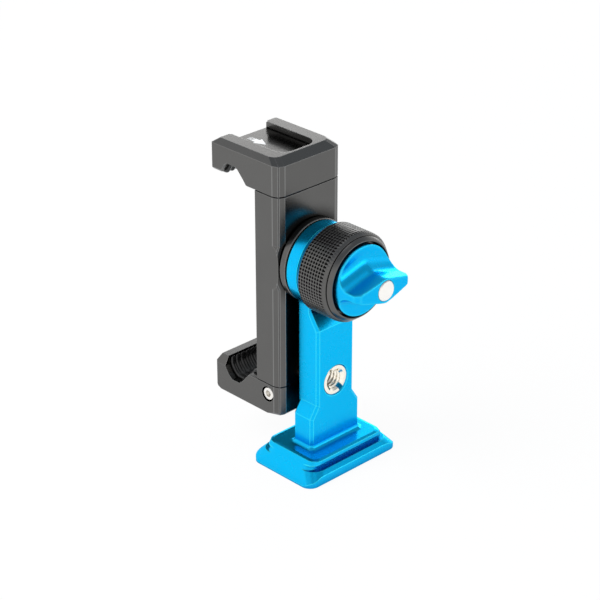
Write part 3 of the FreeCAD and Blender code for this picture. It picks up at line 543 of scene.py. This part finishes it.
def makeBush(size):
    s = size
    columns = s["columns"]
    rows = [[(s["outerR"], s["backY"])] * columns, [(s["outerR"], s["frontY"] + s["rim"])] * columns,
            [(s["outerR"] - s["rim"] * s["rimBulge"], s["frontY"] + s["rim"] * s["rimBulge"])] * columns,
            [(s["outerR"] - s["rim"], s["frontY"])] * columns,
            [(s["threadR"] + s["mouth"], s["frontY"])] * columns]
    length = s["backY"] - s["frontY"]
    count = int(length / s["threadPitch"] * s["rowsPerPitch"])
    for i in range(1, count):
        along = i / count * length
        cone = s["threadR"] + s["mouth"] - min(along, length - along)
        row = []
        for j in range(columns):
            r = max(cone, threadRadius(s, j / columns, along))
            row.append((r, s["frontY"] + along))
        rows.append(row)
    rows.append([(s["threadR"] + s["mouth"], s["backY"])] * columns)
    points = []
    for row in rows:
        for j, (r, y) in enumerate(row):
            angle = 2 * math.pi * j / columns
            points.append((r * math.cos(angle), y, s["height"] + r * math.sin(angle)))
    piece = meshPiece("threadedBush", points, ringFaces(len(rows), columns), bushSteel)
    half = s["slotWidth"] / 2
    reach = s["outerR"] + s["cutOver"]
    deep = s["frontY"] + s["slotDepth"]
    corners = []
    for x in (-reach, reach):
        for y in (s["frontY"] - s["cutOver"], deep):
            for z in (-half, half):
                corners.append(Vector((x, y, z)))
    turn = Matrix.Rotation(math.radians(s["slotTurn"]), 3, "Y")
    corners = [turn @ c + Vector((0, 0, s["height"])) for c in corners]
    sides = [(0, 1, 3, 2), (4, 6, 7, 5), (0, 4, 5, 1), (2, 3, 7, 6), (0, 2, 6, 4), (1, 5, 7, 3)]
    cutter = meshPiece("slotCutter", [tuple(c) for c in corners], sides, bushSteel)
    cut = piece.modifiers.new("slot", "BOOLEAN")
    cut.object = cutter
    cut.operation = "DIFFERENCE"
    cut.solver = "EXACT"
    bakeModifiers(piece)
    bpy.data.objects.remove(cutter)
    piece.data.set_sharp_from_angle(angle=math.radians(s["sharpAngle"]))
    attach(piece, "stand")
    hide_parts("thread_insert")


makeBush(bush)
print("bush threaded")


# moulded grips with rounded ribs

lowerPad = {"line": [(16.7, 24.55), (19.9, 24.55), (23.1, 20.9), (24.6, 19.7), (27.8, 19.7),
                     (29.5, 21.1), (30.9, 23.2), (30.9, 26.2)],
            "side": 1, "half": 10.7, "skin": 0.5, "thickness": 0.9, "ribPitch": 2.0, "ribWidth": 1.5,
            "ribPower": 3, "endSpace": 1.1, "endFade": 0.15, "stepsPerRib": 12, "sharpAngle": 40}
upperPad = dict(lowerPad, side=-1,
                line=[(21.3, 88.6), (24.4, 91.8), (28.6, 91.8), (29.2, 91.5), (31.5, 88.0),
                      (32.9, 88.0)])


def offsetLine(line, distance):
    # the open (y, z) line moved sideways, with mitred corners
    moved = []
    for i, corner in enumerate(line):
        normals = []
        for j in (i - 1, i):
            if 0 <= j < len(line) - 1:
                run = Vector(line[j + 1]) - Vector(line[j])
                normals.append(Vector((-run.y, run.x)).normalized())
        mean = sum(normals, Vector((0, 0))) / len(normals)
        moved.append(Vector(corner) + mean * distance / mean.length_squared)
    return moved


def fineLine(corners, step=0.35, rounds=3):
    # points along an open line, with its corners smoothed
    fine = [corners[0]]
    for first, second in zip(corners, corners[1:]):
        count = max(2, int((second - first).length / step))
        fine += [first.lerp(second, i / count) for i in range(1, count + 1)]
    for turn in range(rounds):
        inner = [(a + b * 2 + c) / 4 for a, b, c in zip(fine, fine[1:], fine[2:])]
        fine = [fine[0]] + inner + [fine[-1]]
    return fine


def makePad(name, node, body, size):
    s = size
    line = [Vector(p) for p in s["line"]]
    count = int((2 * s["half"] - s["endSpace"]) / s["ribPitch"]) + 1
    total = count * s["stepsPerRib"]
    seat = fineLine(line)
    low = fineLine(offsetLine(line, s["side"] * s["skin"]))
    high = fineLine(offsetLine(line, s["side"] * s["thickness"]))
    width = min(len(seat), len(low), len(high))
    points = []
    columns = []
    for i in range(total + 1):
        x = -s["half"] + 2 * s["half"] * i / total
        place = (x / s["ribPitch"] + 0.5 * (count % 2 == 0) + 0.5) % 1.0 - 0.5
        ridge = max(0.0, 1 - (2 * abs(place) * s["ribPitch"] / s["ribWidth"]) ** s["ribPower"])
        edge = min(1.0, (s["half"] - abs(x)) / s["endFade"])
        columns.append((x, ridge * edge))
    for x, ridge in columns:
        for k in range(width):
            p = low[k].lerp(high[k], ridge)
            points.append((x, p.x, p.y))
    top = len(points)
    for x, ridge in columns:
        for k in range(width):
            points.append((x, seat[k].x, seat[k].y))
    faces = []
    for i in range(total):
        for k in range(width - 1):
            a = i * width + k
            b = a + 1
            c = b + width
            d = a + width
            faces.append((a, b, c, d))
            faces.append((top + d, top + c, top + b, top + a))
        for k in (0, width - 1):
            a = i * width + k
            faces.append((a, a + width, top + a + width, top + a))
    for i in (0, total):
        for k in range(width - 1):
            a = i * width + k
            faces.append((a, a + 1, top + a + 1, top + a))
    piece = meshPiece(name, points, faces, gripRubber, s["sharpAngle"])
    fixNormals(piece)
    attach(piece, body)
    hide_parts(node)


def fixNormals(piece):
    work = bmesh.new()
    work.from_mesh(piece.data)
    bmesh.ops.recalc_face_normals(work, faces=work.faces)
    work.to_mesh(piece.data)
    work.free()


makePad("lowerRibbedPad", "lower_grip", "clamp", lowerPad)
makePad("upperRibbedPad", "upper_grip", "slider", upperPad)
print("grips ribbed")


# white arrow printed on the floor of the shoe

arrow = {"floorZ": 95.0, "thickness": 0.03, "tipY": 25.1, "headY": 29.0, "headHalf": 2.0,
         "stemHalf": 1.0, "stemEndY": 30.6, "stripes": [(30.9, 31.25), (31.6, 31.9), (32.25, 32.5)]}


def makeArrow(size):
    s = size
    shapes = [[(0, s["tipY"]), (s["headHalf"], s["headY"]), (s["stemHalf"], s["headY"]),
               (s["stemHalf"], s["stemEndY"]), (-s["stemHalf"], s["stemEndY"]),
               (-s["stemHalf"], s["headY"]), (-s["headHalf"], s["headY"])]]
    for near, far in s["stripes"]:
        shapes.append([(s["stemHalf"], near), (s["stemHalf"], far), (-s["stemHalf"], far),
                       (-s["stemHalf"], near)])
    points = []
    faces = []
    for shape in shapes:
        start = len(points)
        count = len(shape)
        for z in (s["floorZ"], s["floorZ"] + s["thickness"]):
            points += [(x, y, z) for x, y in shape]
        faces.append(tuple(range(start + count, start + 2 * count)))
        faces.append(tuple(reversed(range(start, start + count))))
        for i in range(count):
            j = (i + 1) % count
            faces.append((start + i, start + j, start + count + j, start + count + i))
    piece = meshPiece("shoeArrow", points, faces, whiteInk)
    fixNormals(piece)
    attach(piece, "slider")


makeArrow(arrow)
print("arrow printed")


# floor, light and camera

studio = {"floorColour": (0.95, 0.95, 0.95), "floorSize": 6000, "floorWhite": 0.93,
          "floorRoughness": 0.8, "floorSpecular": 0.1,
          "mirrorWhite": 0.6, "darkSide": (0.1, -0.1, 0.99), "lowLevel": 1.06, "highLevel": 0.48,
          "fadeStart": 0.3, "fadeEnd": 0.75, "lowColour": (1, 1, 1), "highColour": (0.86, 0.93, 1.0)}


def makeFloor(size):
    half = size["floorSize"] / 2
    material = bpy.data.materials.new("paleFloor")
    material.use_nodes = True
    tree = material.node_tree
    shader = tree.nodes["Principled BSDF"]
    shader.inputs["Base Color"].default_value = (*size["floorColour"], 1)
    shader.inputs["Roughness"].default_value = size["floorRoughness"]
    shader.inputs["Specular IOR Level"].default_value = size["floorSpecular"]
    white = addNode(tree, "ShaderNodeEmission")
    path = addNode(tree, "ShaderNodeLightPath")
    seen = mathNode(tree, "MULTIPLY", path.outputs["Is Camera Ray"], size["floorWhite"])
    mirrored = mathNode(tree, "MULTIPLY", path.outputs["Is Glossy Ray"], size["mirrorWhite"])
    share = mathNode(tree, "MAXIMUM", seen, mirrored)
    mix = addNode(tree, "ShaderNodeMixShader")
    tree.links.new(share, mix.inputs[0])
    tree.links.new(shader.outputs[0], mix.inputs[1])
    tree.links.new(white.outputs[0], mix.inputs[2])
    tree.links.new(mix.outputs[0], tree.nodes["Material Output"].inputs["Surface"])
    corners = [(-half, -half, 0), (half, -half, 0), (half, half, 0), (-half, half, 0)]
    floor = meshPiece("floor", corners, [(0, 1, 2, 3)], material)


def makeWorld(size):
    # a pale room that grows darker overhead
    world = bpy.data.worlds.new("studio")
    bpy.context.scene.world = world
    world.use_nodes = True
    tree = world.node_tree
    sky = tree.nodes["Background"]
    towards = addNode(tree, "ShaderNodeVectorMath", operation="DOT_PRODUCT")
    tree.links.new(addNode(tree, "ShaderNodeTexCoord").outputs["Generated"], towards.inputs[0])
    towards.inputs[1].default_value = size["darkSide"]
    fade = addNode(tree, "ShaderNodeMapRange", interpolation_type="SMOOTHSTEP")
    fade.inputs["From Min"].default_value = size["fadeStart"]
    fade.inputs["From Max"].default_value = size["fadeEnd"]
    tree.links.new(towards.outputs["Value"], fade.inputs["Value"])
    level = addNode(tree, "ShaderNodeMapRange")
    level.inputs["To Min"].default_value = size["lowLevel"]
    level.inputs["To Max"].default_value = size["highLevel"]
    tree.links.new(fade.outputs["Result"], level.inputs["Value"])
    tree.links.new(level.outputs["Result"], sky.inputs["Strength"])
    tint = addNode(tree, "ShaderNodeMix", data_type="RGBA")
    tint.inputs["A"].default_value = (*size["lowColour"], 1)
    tint.inputs["B"].default_value = (*size["highColour"], 1)
    tree.links.new(fade.outputs["Result"], tint.inputs["Factor"])
    tree.links.new(tint.outputs["Result"], sky.inputs["Color"])


# a lamp that isn't mirrored lights the object but stays out of its reflections
softBoxes = {
    "keyBox": {"place": (-0.55, 0.3, 0.75), "width": 0.6, "height": 0.6, "power": 5.5, "mirrored": False},
    "backBox": {"place": (0.8, 0.56, 0.24), "width": 0.8, "height": 0.5, "power": 2.5, "mirrored": True},
    "frontBox": {"place": (0.45, -0.8, 0.36), "width": 0.5, "height": 0.3, "power": 0.55,
                 "mirrored": True},
    "leftBox": {"place": (-0.6, 0.05, 0.72), "width": 0.35, "height": 0.5, "power": 0.2,
                "mirrored": True},
    "topBox": {"place": (0.0, -0.05, 0.95), "width": 0.45, "height": 0.45, "power": 0.35,
               "mirrored": True}}
lampAim = (0, 0, 0.05)


def makeLights(boxes):
    for name, box in boxes.items():
        lamp = bpy.data.lights.new(name, "AREA")
        lamp.shape = "RECTANGLE"
        lamp.size = box["width"]
        lamp.size_y = box["height"]
        lamp.energy = box["power"]
        light = bpy.data.objects.new(name, lamp)
        light.visible_glossy = box["mirrored"]
        away = Vector(box["place"]) - Vector(lampAim)
        light.rotation_euler = away.to_track_quat("Z", "Y").to_euler()
        light.location = box["place"]
        bpy.context.scene.collection.objects.link(light)


view = {"place": (-0.36945, -0.37128, 0.31715), "lens": 118.63, "turn": -44.03, "rise": 26.79,
        "roll": -0.1, "sensor": 36, "nearest": 0.01}


def makeCamera(size):
    lens = bpy.data.cameras.new("view")
    lens.lens = size["lens"]
    lens.sensor_width = size["sensor"]
    lens.clip_start = size["nearest"]
    camera = bpy.data.objects.new("view", lens)
    turn, rise, roll = (math.radians(size[k]) for k in ("turn", "rise", "roll"))
    back = Vector((math.sin(turn) * math.cos(rise), -math.cos(turn) * math.cos(rise), math.sin(rise)))
    right = Vector((math.cos(turn), math.sin(turn), 0))
    up = back.cross(right)
    across = right * math.cos(roll) + up * math.sin(roll)
    upright = up * math.cos(roll) - right * math.sin(roll)
    pose = Matrix((across, upright, back)).transposed().to_4x4()
    pose.translation = Vector(size["place"])
    camera.matrix_world = pose
    bpy.context.scene.collection.objects.link(camera)
    bpy.context.scene.camera = camera


makeFloor(studio)
makeWorld(studio)
makeLights(softBoxes)
makeCamera(view)
bpy.context.scene.view_settings.view_transform = "Standard"
print("studio set")
